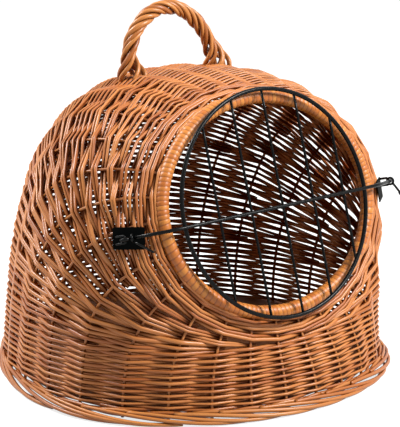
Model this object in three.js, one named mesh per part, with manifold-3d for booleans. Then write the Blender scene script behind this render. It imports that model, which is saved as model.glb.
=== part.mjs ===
// A domed wicker pet carrier. Upright stakes rise from a drilled plywood floor, lean over
// to a wrapped oval rim and carry the woven wall. A round wire door hangs on a staple at the
// left of the rim, and a rope handle of twisted rods bridges the crown.
// Millimetres, +Z up, the door faces -Y, the origin is on the ground under the middle.
import * as THREE from "three";
import { mergeVertices } from "three/addons/utils/BufferGeometryUtils.js";
import Module from "manifold-3d";

// Clearance between touching pieces, and how far one piece runs into another that it is joined to.
const GAP = 0.3;
const WELD = 0.6;

// Floor plan: half an ellipse in front of the widest line and half an ellipse behind it.
const BASE_HALF_WIDTH = 208;
const BASE_FRONT = 174;
const BASE_BACK = 261;
const BASE_WIDEST_Y = (BASE_FRONT - BASE_BACK) / 2;

// Foot border that the basket stands on, measured from the line of the stakes.
const BORDER_HEIGHT = 12;
const BORDER_OUT = 13;
const BORDER_IN = 5;
const BORDER_ROUND = 4;

// Plywood floor, with a hole for each stake.
const FLOOR_THICKNESS = 5;
const FLOOR_MARGIN = 6;
const HOLE_PLAY = 0.6;

// Stakes, which stand closer together in front and behind than at the sides, and the weave on
// them: its thickness over a stake, what shows of it where a stroke goes behind a stake, the height
// of a stroke, and the rows of faces inside and outside.
const STAKE_COUNT = 28;
const STAKE_CROWDING = 0.13;
const STAKE_RADIUS = 2.5;
const WEAVE_THICKNESS = 3.2;
const WEAVE_THIN = 0.8;
const STROKE = 6.8;
const ROWS = 10;
const RELIEF_ROWS = 48;

// Oval mouth: its centre's distance behind the front of the stakes and its height, its lean
// backwards, and its half sizes to the middle of the rim roll.
const MOUTH_SETBACK = 61.5;
const MOUTH_Z = 215;
const MOUTH_LEAN_DEG = 16.5;
const MOUTH_HALF_WIDTH = 138;
const MOUTH_HALF_HEIGHT = 116;
const RIM_RADIUS = 7;

// How each stake bends, at the front, the sides and the back: the reach of its upright start
// and of its end at the rim, as shares of its span, and how steeply it comes down on the rim.
const START_REACH = { front: 0.4, side: 0.5, back: 0.63 };
const END_REACH = { front: 0.3, side: 0.45, back: 0.463 };
const END_ANGLE_DEG = { front: 15, side: 31, back: 63 };
const INWARD_LEAN = 0.08;

// Door: wire ring, upright bars, and the cross rod that carries it. The rod runs in front of the
// ring and bends back at both ends to the staples.
const DOOR_ROLL_DEG = 1.2;
const DOOR_STANDOFF = 15.5;
const RING_RADIUS = 123;
const RING_WIRE = 5;
const BAR_WIRE = 3.2;
const BAR_COUNT = 5;
const BAR_PITCH = 42.5;
const BAR_SHIFT = 8;
const ROD_WIRE = 4;
const ROD_DROP = 5;
const ROD_PAST_RIM = 2;
const ROD_BEND = 14;
const HOOK_END_DEG = 20;

// Staples: where their upright bars stand from their feet on the plates, and how they are bent.
const STAPLE_OUT = 11.5;
const STAPLE_IN = 3.5;
const STAPLE_WIRE = 2.8;
const STAPLE_WIDTH = 7.8;
const STAPLE_CORNER = 2.2;
const STAPLE_FOOT = 3;
const HINGE_PLAY = 0.6;

// Plates on the wall, placed by the angle round the floor plan and the share of the stake's length.
const PLATE_WIDTH = 34;
const PLATE_HEIGHT = 23.5;
const PLATE_THICKNESS = 1.2;
const PLATE_CORNER = 1.5;
const PLATE_ANGLE_DEG = 2.4;
const PLATE_UP_THE_WALL = 0.857;
const PLATE_TURN_DEG = 7.5;
const STAPLE_OFFSET = 13;

// Locking tongues on the bent ends of the cross rod, and the way they point in the mouth's frame.
const TONGUE_WIRE = 2.6;
const TONGUE_PLAY = 0.4;
const TONGUE_LENGTH = 29;
const TONGUE_TIP_WIDTH = 5;
const TONGUE_TIP_THICKNESS = 2;
const TONGUE_TIP_LENGTH = 10;
const TONGUE_DROP_DEG = 32;
const TONGUE_INWARD_DEG = 20;

// Rope handle across the crown.
const HANDLE_Y = 18;
const HANDLE_HALF_SPAN = 59;
const HANDLE_LEAN = 10;
const HANDLE_RISE = 73;
const STRAND_COUNT = 6;
const STRAND_RADIUS = 2.5;
const ROPE_RADIUS = 6.4;
const ROPE_TURNS = 3;
const FOOT_SPREAD = 14;
const FOOT_HEIGHT = 24;
const STRAND_FOOT = 2;
const STRAND_STEPS = 36;

const willow = new THREE.MeshStandardMaterial({ color: 0xb8733a, roughness: 0.55 });
const stakeWillow = new THREE.MeshStandardMaterial({ color: 0x9c5c2c, roughness: 0.6 });
const rimWillow = new THREE.MeshStandardMaterial({ color: 0xc47d3c, roughness: 0.5 });
const plywood = new THREE.MeshStandardMaterial({ color: 0x5a3018, roughness: 0.7 });
const blackWire = new THREE.MeshStandardMaterial({ color: 0x141514, roughness: 0.4, metalness: 0.6 });

const carrier = new THREE.Group();
const wasm = await Module();
wasm.setup();

const vec = (x, y, z) => new THREE.Vector3(x, y, z);
const radians = THREE.MathUtils.degToRad;

function addPiece(parent, name, geometry, material) {
  const mesh = new THREE.Mesh(geometry, material);
  mesh.name = name;
  parent.add(mesh);
  return mesh;
}

// Surfaces through rings of points

// A closed solid through rings of equally many points. The last ring joins the first one, or
// both ends are closed by flat fans.
function skin(rings, joinEnds) {
  const sides = rings[0].length;
  const points = rings.flat();
  const index = [];
  const last = joinEnds ? rings.length : rings.length - 1;
  for (let r = 0; r < last; r++) {
    const low = r * sides;
    const high = ((r + 1) % rings.length) * sides;
    for (let i = 0; i < sides; i++) {
      const j = (i + 1) % sides;
      index.push(low + i, low + j, high + j, low + i, high + j, high + i);
    }
  }
  if (!joinEnds) {
    const top = (rings.length - 1) * sides;
    for (let i = 1; i < sides - 1; i++) {
      index.push(0, i + 1, i, top, top + i, top + i + 1);
    }
  }
  return new THREE.BufferGeometry().setFromPoints(points).setIndex(index);
}

// A round wire along hand-placed points, with its section carried along without twist.
function wire(points, radius, sides) {
  const tangents = points.map((p, i) => {
    const before = points[Math.max(i - 1, 0)];
    const after = points[Math.min(i + 1, points.length - 1)];
    return after.clone().sub(before).normalize();
  });
  const across = vec(0.31, 0.57, 0.76).cross(tangents[0]).normalize();
  const rings = points.map((p, i) => {
    across.addScaledVector(tangents[i], -across.dot(tangents[i])).normalize();
    const beside = tangents[i].clone().cross(across);
    return circle(p, across, beside, radius, sides);
  });
  return skin(rings, false);
}

function circle(centre, first, second, radius, sides) {
  return Array.from({ length: sides }, (_, i) => {
    const turn = (2 * Math.PI * i) / sides;
    return centre
      .clone()
      .addScaledVector(first, radius * Math.cos(turn))
      .addScaledVector(second, radius * Math.sin(turn));
  });
}

// A path of straight runs whose corners are rounded by a few points each. A corner takes less
// than half of a run, so that the next corner has room.
const CORNER_STEPS = 3;
const CORNER_SHARE = 0.48;
function roundCorners(points, radius) {
  const path = [points[0]];
  for (let i = 1; i < points.length - 1; i++) {
    const into = points[i].clone().sub(points[i - 1]);
    const out = points[i + 1].clone().sub(points[i]);
    const cut = Math.min(radius, CORNER_SHARE * into.length(), CORNER_SHARE * out.length());
    const bend = new THREE.QuadraticBezierCurve3(
      points[i].clone().addScaledVector(into.normalize(), -cut),
      points[i],
      points[i].clone().addScaledVector(out.normalize(), cut),
    );
    path.push(...bend.getPoints(CORNER_STEPS));
  }
  path.push(points[points.length - 1]);
  return path;
}

function solidOf(geometry) {
  const bare = geometry.clone();
  bare.deleteAttribute("normal");
  bare.deleteAttribute("uv");
  const merged = mergeVertices(bare, 1e-4);
  return new wasm.Manifold(
    new wasm.Mesh({
      numProp: 3,
      vertProperties: merged.attributes.position.array,
      triVerts: new Uint32Array(merged.index.array),
    }),
  );
}

function joined(geometries) {
  const mesh = geometries
    .map(solidOf)
    .reduce((all, next) => all.add(next))
    .getMesh();
  return new THREE.BufferGeometry()
    .setAttribute("position", new THREE.BufferAttribute(mesh.vertProperties, mesh.numProp))
    .setIndex(new THREE.BufferAttribute(mesh.triVerts, 1));
}

// The form of the basket

// The line of the stakes on the floor plan, from the middle of the front and round to it again.
class FloorPlan extends THREE.Curve {
  constructor(z, grow) {
    super();
    this.z = z;
    this.grow = grow;
  }
  getPoint(t) {
    const angle = 2 * Math.PI * t - Math.PI / 2;
    const depth = Math.sin(angle) > 0 ? BASE_BACK : BASE_FRONT;
    return vec(
      (BASE_HALF_WIDTH + this.grow) * Math.cos(angle),
      BASE_WIDEST_Y + (depth + this.grow) * Math.sin(angle),
      this.z,
    );
  }
}

const STAKE_FOOT_Z = BORDER_HEIGHT + GAP;
const FLOOR_TOP_Z = STAKE_FOOT_Z + FLOOR_THICKNESS;
const stakeLine = new FloorPlan(STAKE_FOOT_Z, 0);

const lean = radians(MOUTH_LEAN_DEG);
const mouthCentre = vec(0, BASE_WIDEST_Y - BASE_FRONT + MOUTH_SETBACK, MOUTH_Z);
const mouthRight = vec(1, 0, 0);
const mouthUp = vec(0, Math.sin(lean), Math.cos(lean));
const mouthOut = vec(0, -Math.cos(lean), Math.sin(lean));

function rimPoint(angle) {
  return mouthCentre
    .clone()
    .addScaledVector(mouthRight, MOUTH_HALF_WIDTH * Math.cos(angle))
    .addScaledVector(mouthUp, MOUTH_HALF_HEIGHT * Math.sin(angle));
}

// A value that goes from the side's to the front's or the back's with the square of the sine.
function blend(values, sine) {
  const end = sine > 0 ? values.back : values.front;
  return values.side + (end - values.side) * sine * sine;
}

// The middle line of a stake at an angle round the plan: a cubic curve from floor to rim.
function stakeCurve(angle) {
  const sine = Math.sin(angle);
  const start = stakeLine.getPoint(angle / (2 * Math.PI) + 0.25);
  const end = rimPoint(angle);
  const span = start.distanceTo(end);
  const outward = vec(Math.cos(angle), sine, 0);
  const rise = vec(0, 0, 1).addScaledVector(outward, -INWARD_LEAN);
  const radial = mouthRight
    .clone()
    .multiplyScalar(Math.cos(angle))
    .addScaledVector(mouthUp, sine);
  const steep = radians(blend(END_ANGLE_DEG, sine));
  const arrival = radial
    .multiplyScalar(Math.cos(steep))
    .addScaledVector(mouthOut, -Math.sin(steep));
  return new THREE.CubicBezierCurve3(
    start,
    start.clone().addScaledVector(rise, blend(START_REACH, sine) * span),
    end.clone().addScaledVector(arrival, blend(END_REACH, sine) * span),
    end,
  );
}

// The point at a share of a stake's length, with its direction and the wall's outward normal.
const ANGLE_STEP = 1e-3;
function wallFrame(angle, share) {
  const curve = stakeCurve(angle);
  const along = curve.getTangentAt(share);
  const across = stakeCurve(angle + ANGLE_STEP)
    .getPointAt(share)
    .sub(stakeCurve(angle - ANGLE_STEP).getPointAt(share));
  const normal = across.cross(along).normalize();
  return { point: curve.getPointAt(share), along, normal, beside: normal.clone().cross(along) };
}

// The shares of a stake's length from the floor to the rim roll, a row at a time.
function rowShares(angle, rows) {
  const length = stakeCurve(angle).getLength();
  const low = (FLOOR_TOP_Z + GAP - STAKE_FOOT_Z) / length;
  const high = 1 - (RIM_RADIUS + GAP) / length;
  return Array.from({ length: rows + 1 }, (_, r) => low + ((high - low) * r) / rows);
}

// Angles of the stakes, and of the wall's columns: one on each stake and one between.
const columnAngles = Array.from({ length: 2 * STAKE_COUNT }, (_, c) => {
  const even = (c + 1) / (2 * STAKE_COUNT);
  const crowded = even - (STAKE_CROWDING * Math.sin(4 * Math.PI * even)) / (4 * Math.PI);
  const t = stakeLine.getUtoTmapping(crowded);
  return 2 * Math.PI * t - Math.PI / 2;
});
const stakeAngles = columnAngles.filter((_, c) => c % 2 === 0);
const wallColumns = (rows) =>
  columnAngles.map((angle) => rowShares(angle, rows).map((share) => wallFrame(angle, share)));
const columns = wallColumns(ROWS);
const reliefColumns = wallColumns(RELIEF_ROWS);

// Woven wall: a shell on the outer side of the stakes, open at the floor and the mouth. Between
// two stakes it lies in their line, and at a stake its strokes stand out and fall back by turns.
const WEAVE_INSIDE = STAKE_RADIUS + GAP;
const WEAVE_OUTSIDE = WEAVE_INSIDE + WEAVE_THICKNESS;
const isBetween = (c) => c % 2 === 1;
const rowHeights = columnAngles.map((angle) => stakeCurve(angle).getLength() / RELIEF_ROWS);
function outerOffset(c, row) {
  if (isBetween(c)) return WEAVE_THICKNESS / 2;
  const stroke = Math.floor(row / Math.max(1, STROKE / rowHeights[c]));
  return (stroke + c / 2) % 2 === 0 ? WEAVE_OUTSIDE : WEAVE_INSIDE + WEAVE_THIN;
}
const innerOffset = (c) => (isBetween(c) ? -WEAVE_THICKNESS / 2 : WEAVE_INSIDE);
const wallRing = (grid, row, offset) =>
  grid.map((column, c) =>
    column[row].point.clone().addScaledVector(column[row].normal, offset(c, row)),
  );
const upTo = (rows) => Array.from({ length: rows + 1 }, (_, r) => r);
const wallRings = [
  ...upTo(RELIEF_ROWS).map((r) => wallRing(reliefColumns, r, outerOffset)),
  ...upTo(ROWS)
    .reverse()
    .map((r) => wallRing(columns, r, innerOffset)),
];
const wall = addPiece(carrier, "woven_wall", skin(wallRings, true), willow);

// Stakes: each runs down through the floor to the foot border.
const STAKE_SIDES = 5;
stakeAngles.forEach((angle, i) => {
  const foot = wallFrame(angle, 0);
  const frames = [foot, ...columns[2 * i]];
  const rings = frames.map((f) =>
    circle(f.point, f.normal, f.along.clone().cross(f.normal), STAKE_RADIUS, STAKE_SIDES),
  );
  const name = "stake_" + String(i + 1).padStart(2, "0");
  addPiece(carrier, name, skin(rings, false), stakeWillow);
});

// Plywood floor with a hole for each stake.
const HOLE_SIDES = 8;
const holeRadius = (STAKE_RADIUS + HOLE_PLAY) / Math.cos(Math.PI / HOLE_SIDES);
const floorEdge = new FloorPlan(0, FLOOR_MARGIN).getSpacedPoints(2 * STAKE_COUNT).slice(0, -1);
const floorShape = new THREE.Shape(floorEdge.map((p) => new THREE.Vector2(p.x, p.y)));
stakeAngles.forEach((angle) => {
  const curve = stakeCurve(angle);
  const middle = curve.getPointAt(FLOOR_THICKNESS / 2 / curve.getLength());
  const ring = circle(middle, vec(1, 0, 0), vec(0, 1, 0), holeRadius, HOLE_SIDES);
  floorShape.holes.push(new THREE.Path(ring.map((p) => new THREE.Vector2(p.x, p.y))));
});
const floorSheet = new THREE.ExtrudeGeometry(floorShape, {
  depth: FLOOR_THICKNESS,
  bevelEnabled: false,
});
addPiece(carrier, "floor_panel", floorSheet, plywood).position.z = STAKE_FOOT_Z;

// Foot border: a flat-bottomed ring under the floor's edge.
const borderProfile = [
  [-BORDER_IN, 0],
  [BORDER_OUT - BORDER_ROUND / 2, 0],
  [BORDER_OUT, BORDER_ROUND],
  [BORDER_OUT, BORDER_HEIGHT - BORDER_ROUND],
  [BORDER_OUT - BORDER_ROUND, BORDER_HEIGHT],
  [-BORDER_IN, BORDER_HEIGHT],
];
const borderRings = columnAngles.map((angle) => {
  const t = angle / (2 * Math.PI) + 0.25;
  return borderProfile.map(([grow, z]) => new FloorPlan(z, grow).getPoint(t));
});
addPiece(carrier, "foot_border", skin(borderRings.reverse(), true), willow);

// Rim roll round the mouth.
const RIM_SIDES = 8;
const rimRings = columnAngles.map((angle) => {
  const outward = mouthRight
    .clone()
    .multiplyScalar(Math.cos(angle) / MOUTH_HALF_WIDTH)
    .addScaledVector(mouthUp, Math.sin(angle) / MOUTH_HALF_HEIGHT)
    .normalize();
  return circle(rimPoint(angle), outward, mouthOut, RIM_RADIUS, RIM_SIDES);
});
addPiece(carrier, "rim_roll", skin(rimRings.reverse(), true), rimWillow);

// What stands on the wall takes its place from the wall's own faces.
const probe = new THREE.Raycaster();
carrier.updateMatrixWorld(true);
function distanceToWall(from, direction) {
  probe.set(from, direction);
  return probe.intersectObject(wall)[0].distance;
}

// Rope handle: strands that twist round one arch and spread into the crown at both feet.
const ABOVE_CROWN = MOUTH_Z + BASE_BACK + BASE_HALF_WIDTH;
const DOWN = vec(0, 0, -1);
const crownHeight = (x, y) => ABOVE_CROWN - distanceToWall(vec(x, y, ABOVE_CROWN), DOWN);
const footZ = crownHeight(HANDLE_HALF_SPAN, HANDLE_Y);

// The lowest place where a strand's flat end stands clear of the crown.
const SEAT_SAMPLES = 16;
const SEAT_RINGS = [1, 0.7, 0.35];
function strandSeat(x, y) {
  const spots = SEAT_RINGS.flatMap((share) =>
    circle(vec(x, y, 0), vec(1, 0, 0), vec(0, 1, 0), share * STRAND_RADIUS, SEAT_SAMPLES),
  );
  return Math.max(...spots.map((p) => crownHeight(p.x, p.y))) + GAP;
}

function strandPoint(strand, step) {
  const share = step / STRAND_STEPS;
  const arch = Math.PI * (1 - share);
  const height = HANDLE_RISE * Math.sin(arch);
  const centre = vec(
    HANDLE_HALF_SPAN * Math.cos(arch) - HANDLE_LEAN * Math.sin(arch),
    HANDLE_Y,
    footZ + height,
  );
  const tangent = vec(
    HANDLE_HALF_SPAN * Math.sin(arch) + HANDLE_LEAN * Math.cos(arch),
    0,
    -HANDLE_RISE * Math.cos(arch),
  ).normalize();
  const backward = vec(0, 1, 0);
  const outward = backward.clone().cross(tangent).negate();
  const open = Math.max(0, 1 - height / FOOT_HEIGHT);
  const radius = ROPE_RADIUS + (FOOT_SPREAD - ROPE_RADIUS) * open;
  const turn = 2 * Math.PI * (strand / STRAND_COUNT - ROPE_TURNS * share);
  centre
    .addScaledVector(outward, radius * Math.cos(turn))
    .addScaledVector(backward, radius * Math.sin(turn));
  if (step === 0 || step === STRAND_STEPS) {
    centre.z = strandSeat(centre.x, centre.y) + STRAND_FOOT;
  }
  return centre;
}
const STRAND_SIDES = 6;
for (let strand = 0; strand < STRAND_COUNT; strand++) {
  const steps = Array.from({ length: STRAND_STEPS + 1 }, (_, step) => strandPoint(strand, step));
  const foot = vec(0, 0, -STRAND_FOOT);
  steps.unshift(steps[0].clone().add(foot));
  steps.push(steps[steps.length - 1].clone().add(foot));
  const name = "handle_strand_" + (strand + 1);
  addPiece(carrier, name, wire(steps, STRAND_RADIUS, STRAND_SIDES), rimWillow);
}

// Door, in a frame of its own: x to the right, y up and z out of the mouth.
const mouth = new THREE.Group();
mouth.position.copy(mouthCentre);
const doorTurn = new THREE.Quaternion().setFromAxisAngle(mouthOut, radians(DOOR_ROLL_DEG));
mouth.quaternion
  .setFromRotationMatrix(new THREE.Matrix4().makeBasis(mouthRight, mouthUp, mouthOut))
  .premultiply(doorTurn);
carrier.add(mouth);
mouth.updateMatrixWorld(true);

const RING_STEPS = 48;
const RING_SIDES = 8;
const ringSection = circle(
  vec(RING_RADIUS, 0, 0),
  vec(1, 0, 0),
  vec(0, 1, 0),
  RING_WIRE / 2,
  RING_SIDES,
);
const ringProfile = [...ringSection, ringSection[0]].map((p) => new THREE.Vector2(p.x, p.y));
const ringShape = new THREE.LatheGeometry(ringProfile, RING_STEPS).rotateX(Math.PI / 2);
addPiece(mouth, "door_ring", ringShape, blackWire).position.z = DOOR_STANDOFF;

const BAR_SIDES = 8;
const barReach = (RING_RADIUS - RING_WIRE / 2) * Math.cos(Math.PI / RING_STEPS) - GAP;
for (let bar = 0; bar < BAR_COUNT; bar++) {
  const x = BAR_SHIFT + (bar - (BAR_COUNT - 1) / 2) * BAR_PITCH;
  const half = Math.sqrt(barReach ** 2 - (Math.abs(x) + BAR_WIRE / 2) ** 2);
  const shape = new THREE.CylinderGeometry(BAR_WIRE / 2, BAR_WIRE / 2, 2 * half, BAR_SIDES);
  addPiece(mouth, "door_bar_" + (bar + 1), shape, blackWire).position.set(x, 0, DOOR_STANDOFF);
}

// Plates lie flat on the wall at both sides of the mouth, and each carries a staple.
const PLATE_SAMPLES = 40;
function plateOn(name, side) {
  const angle = side < 0 ? Math.PI + radians(PLATE_ANGLE_DEG) : -radians(PLATE_ANGLE_DEG);
  const seat = wallFrame(angle, PLATE_UP_THE_WALL);
  const along = mouthRight.clone().addScaledVector(seat.normal, -mouthRight.dot(seat.normal));
  along.normalize().applyAxisAngle(seat.normal, side * radians(PLATE_TURN_DEG));
  const upward = seat.normal.clone().cross(along);
  const from = seat.point.clone().addScaledVector(seat.normal, PLATE_WIDTH);
  const inward = seat.normal.clone().negate();
  let nearest = Infinity;
  for (let i = 0; i <= PLATE_SAMPLES; i++) {
    for (let j = 0; j <= PLATE_SAMPLES; j++) {
      const spot = from
        .clone()
        .addScaledVector(along, PLATE_WIDTH * (i / PLATE_SAMPLES - 0.5))
        .addScaledVector(upward, PLATE_HEIGHT * (j / PLATE_SAMPLES - 0.5));
      nearest = Math.min(nearest, distanceToWall(spot, inward));
    }
  }
  const w = PLATE_WIDTH / 2;
  const h = PLATE_HEIGHT / 2;
  const c = PLATE_CORNER;
  const outline = new THREE.Shape([
    new THREE.Vector2(c - w, -h),
    new THREE.Vector2(w - c, -h),
    new THREE.Vector2(w, c - h),
    new THREE.Vector2(w, h - c),
    new THREE.Vector2(w - c, h),
    new THREE.Vector2(c - w, h),
    new THREE.Vector2(-w, h - c),
    new THREE.Vector2(-w, c - h),
  ]);
  const sheet = new THREE.ExtrudeGeometry(outline, { depth: PLATE_THICKNESS, bevelEnabled: false });
  const plate = addPiece(carrier, name, sheet, blackWire);
  plate.quaternion.setFromRotationMatrix(
    new THREE.Matrix4().makeBasis(along, upward, seat.normal),
  );
  plate.position.copy(from).addScaledVector(inward, nearest - GAP);
  plate.updateMatrixWorld(true);
  return plate;
}

const plates = { hinge: plateOn("hinge_plate", -1), latch: plateOn("latch_plate", 1) };

// A point on a plate's front, in the mouth's frame.
function onPlate(plate, x, y, z) {
  return mouth.worldToLocal(plate.localToWorld(vec(x, y, PLATE_THICKNESS + GAP + z)));
}

// The middle of a staple's upright bar, at the height of the cross rod.
function stapleBar(plate, side) {
  const foot = onPlate(plate, side * STAPLE_OFFSET, 0, STAPLE_FOOT);
  return vec(foot.x - side * STAPLE_IN, -ROD_DROP, foot.z + STAPLE_OUT);
}
const hingeBar = stapleBar(plates.hinge, -1);
const latchBar = stapleBar(plates.latch, 1);

// Cross rod: its left eye turns on the hinge staple's upright bar, and its right end is a hook
// that lies in front of the latch staple's bar, so that it leaves the bar as the door swings out.
const ROD_Z = DOOR_STANDOFF + RING_WIRE / 2 + GAP + ROD_WIRE / 2;
const eyeRadius = STAPLE_WIRE / 2 + HINGE_PLAY + ROD_WIRE / 2;
const rodKnee = (side) => vec(side * (MOUTH_HALF_WIDTH + ROD_PAST_RIM), -ROD_DROP, ROD_Z);
const aroundBar = (bar, turn) =>
  bar.clone().add(vec(eyeRadius * Math.cos(turn), 0, eyeRadius * Math.sin(turn)));

const fromLatch = rodKnee(1).sub(latchBar);
const hookStart = Math.atan2(fromLatch.z, fromLatch.x) - Math.acos(eyeRadius / fromLatch.length());
const hookTurn = hookStart + radians(HOOK_END_DEG);
const HOOK_STEPS = 5;
const hook = Array.from({ length: HOOK_STEPS + 1 }, (_, i) =>
  aroundBar(latchBar, hookStart - (hookTurn * i) / HOOK_STEPS),
);
const toHinge = hingeBar.clone().sub(rodKnee(-1)).normalize();
const eyeJoin = hingeBar.clone().addScaledVector(toHinge, -eyeRadius);
const rodPath = roundCorners([eyeJoin, rodKnee(-1), rodKnee(1), hook[0]], ROD_BEND);
const ROD_SIDES = 8;
const EYE_STEPS = 14;
const rodBar = wire([...rodPath, ...hook.slice(1)], ROD_WIRE / 2, ROD_SIDES);
const hingeEye = new THREE.TorusGeometry(eyeRadius, ROD_WIRE / 2, ROD_SIDES, EYE_STEPS)
  .rotateX(Math.PI / 2)
  .translate(hingeBar.x, hingeBar.y, hingeBar.z);
addPiece(mouth, "cross_rod", joined([rodBar, hingeEye]), blackWire);

// A staple is one bent wire: off the plate, out to the rod, down, and back to the plate.
const THIN_SIDES = 6;
function stapleOn(plate, name, side, bar) {
  const level = bar.y - onPlate(plate, side * STAPLE_OFFSET, 0, STAPLE_FOOT).y;
  const legs = [STAPLE_WIDTH / 2, -STAPLE_WIDTH / 2].map((high) => [
    onPlate(plate, side * STAPLE_OFFSET, level + high, 0),
    onPlate(plate, side * STAPLE_OFFSET, level + high, STAPLE_FOOT),
    bar.clone().add(vec(0, high, 0)),
  ]);
  const path = roundCorners([...legs[0], ...legs[1].reverse()], STAPLE_CORNER);
  addPiece(mouth, name, wire(path, STAPLE_WIRE / 2, THIN_SIDES), blackWire);
}
stapleOn(plates.hinge, "hinge_staple", -1, hingeBar);
stapleOn(plates.latch, "latch_staple", 1, latchBar);

// Locking tongues: each hangs by a small ring on a bent end of the rod, next to the eye or hook.
const tongueRingRadius = ROD_WIRE / 2 + TONGUE_PLAY + TONGUE_WIRE / 2;
const TONGUE_RING_STEPS = 12;
function tongue(name, side, place, rodAway) {
  const drop = radians(TONGUE_DROP_DEG);
  const inward = radians(TONGUE_INWARD_DEG);
  const direction = vec(
    -side * Math.sin(inward) * Math.cos(drop),
    -Math.sin(drop),
    Math.cos(inward) * Math.cos(drop),
  );
  const start = direction.clone().addScaledVector(rodAway, -direction.dot(rodAway));
  start.setLength(tongueRingRadius);
  const end = start.clone().addScaledVector(direction, TONGUE_LENGTH - TONGUE_TIP_LENGTH + WELD);
  const ring = new THREE.TorusGeometry(
    tongueRingRadius,
    TONGUE_WIRE / 2,
    THIN_SIDES,
    TONGUE_RING_STEPS,
  );
  ring.applyQuaternion(new THREE.Quaternion().setFromUnitVectors(vec(0, 0, 1), rodAway));
  const shank = wire([start, end], TONGUE_WIRE / 2, THIN_SIDES);
  const blade = new THREE.BoxGeometry(TONGUE_TIP_WIDTH, TONGUE_TIP_THICKNESS, TONGUE_TIP_LENGTH);
  const middle = start.clone().addScaledVector(direction, TONGUE_LENGTH - TONGUE_TIP_LENGTH / 2);
  blade.applyQuaternion(new THREE.Quaternion().setFromUnitVectors(vec(0, 0, 1), direction));
  blade.translate(middle.x, middle.y, middle.z);
  addPiece(mouth, name, joined([ring, shank, blade]), blackWire).position.copy(place);
}
const tongueSpace = ROD_WIRE / 2 + TONGUE_WIRE / 2 + GAP;
const awayFromHinge = toHinge.clone().negate();
tongue("hinge_tongue", -1, eyeJoin.clone().addScaledVector(awayFromHinge, tongueSpace), awayFromHinge);
const awayFromHook = rodKnee(1).sub(hook[0]).normalize();
tongue("latch_tongue", 1, hook[0].clone().addScaledVector(awayFromHook, tongueSpace), awayFromHook);

export default carrier;
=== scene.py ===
# %% [markdown]
# # A wicker pet carrier
# The carrier is woven from peeled and stained willow: upright stakes stand in a plywood floor,
# long thin rods are woven round them, and a plaited border is laid round the foot. The mouth is
# a hoop wrapped in split willow, with a round door of black wire in front of it.
# Every piece below is a surface worked out from a formula, so the weave is made the way a
# weaver makes it: row by row, in front of one stake and behind the next.

# %% Load the frame
import bpy
import numpy as np
from mathutils import Matrix


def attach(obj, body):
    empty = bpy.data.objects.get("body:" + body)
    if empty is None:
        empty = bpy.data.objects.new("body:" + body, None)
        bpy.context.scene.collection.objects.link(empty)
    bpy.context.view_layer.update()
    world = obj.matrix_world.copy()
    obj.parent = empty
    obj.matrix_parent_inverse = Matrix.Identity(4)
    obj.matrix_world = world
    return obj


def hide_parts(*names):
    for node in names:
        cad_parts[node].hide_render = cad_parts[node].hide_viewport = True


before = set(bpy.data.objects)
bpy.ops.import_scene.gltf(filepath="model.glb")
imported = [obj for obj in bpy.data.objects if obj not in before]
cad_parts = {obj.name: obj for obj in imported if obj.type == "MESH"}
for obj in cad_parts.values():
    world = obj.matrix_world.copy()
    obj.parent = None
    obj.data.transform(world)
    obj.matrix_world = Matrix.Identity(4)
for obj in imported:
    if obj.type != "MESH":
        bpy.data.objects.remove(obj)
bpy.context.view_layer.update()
rng = np.random.default_rng(32)

# %% [markdown]
# ## The form of the basket
# All rods follow one surface, so that surface comes first. A stake starts upright at the floor
# and leans over to the oval mouth. A cubic curve has just the handles that this needs: one that
# pulls up from the floor and one that pulls away from the rim. Sizes are in millimetres here and
# turn to metres only when a mesh is made.

# %% Floor plan, mouth and stakes
MM = 0.001
STAKES = 28
CROWDING = 0.13
STEPS = 8
COLUMNS = STAKES * STEPS
BASE_HALF_WIDTH = 208.0
BASE_FRONT = 174.0
BASE_BACK = 261.0
BASE_MIDDLE_Y = (BASE_FRONT - BASE_BACK) / 2
STAKE_FOOT_Z = 12.3
MOUTH_CENTRE = np.array([0.0, -156.0, 215.0])
MOUTH_LEAN = np.radians(16.5)
MOUTH_HALF_WIDTH = 138.0
MOUTH_HALF_HEIGHT = 116.0
MOUTH_RIGHT = np.array([1.0, 0.0, 0.0])
MOUTH_UP = np.array([0.0, np.sin(MOUTH_LEAN), np.cos(MOUTH_LEAN)])
MOUTH_OUT = np.array([0.0, -np.cos(MOUTH_LEAN), np.sin(MOUTH_LEAN)])
UPWARD = np.array([0.0, 0.0, 1.0])
INWARD_LEAN = 0.08
PLAN_SAMPLES = 4001
WALL_SAMPLES = 161
# In front, at the sides and behind: degrees at which a stake meets the rim, and how strongly the
# curve's two handles pull
RIM_STEEP = (15.0, 31.0, 63.0)
FOOT_PULL = (0.4, 0.5, 0.63)
RIM_PULL = (0.3, 0.45, 0.463)


def unit(vectors):
    """Each vector divided by its own length."""
    return vectors / np.linalg.norm(vectors, axis=-1, keepdims=True)


def floor_plan(angle, grow=0.0):
    """Half an ellipse in front and a longer half behind: (a cos, b sin), a and b larger by grow."""
    behind_painted_shade = np.where(np.sin(angle) > 0, BASE_BACK, BASE_FRONT) + grow
    x = (BASE_HALF_WIDTH + grow) * np.cos(angle)
    return np.stack([x, BASE_MIDDLE_Y + behind_painted_shade * np.sin(angle)], -1)


def stake_angle(number):
    """The angle at which a stake stands, from shares of the plan's length that grow by
    1 - crowding cos 2a, so that stakes stand closer in front and behind than at the sides."""
    fine = np.linspace(-0.5 * np.pi, 1.5 * np.pi, PLAN_SAMPLES)
    step = np.linalg.norm(np.diff(floor_plan(fine), axis=0), axis=1)
    share = np.append(0.0, np.cumsum(step)) / step.sum()
    even = (number + 0.5) / STAKES % 1.0
    return np.interp(even - CROWDING * np.sin(4 * np.pi * even) / (4 * np.pi), share, fine)


def spread(front, side, back, sine):
    """The side's value, moving to the front's or the back's with the square of the sine."""
    return side + (np.where(sine > 0, back, front) - side) * sine**2


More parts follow.
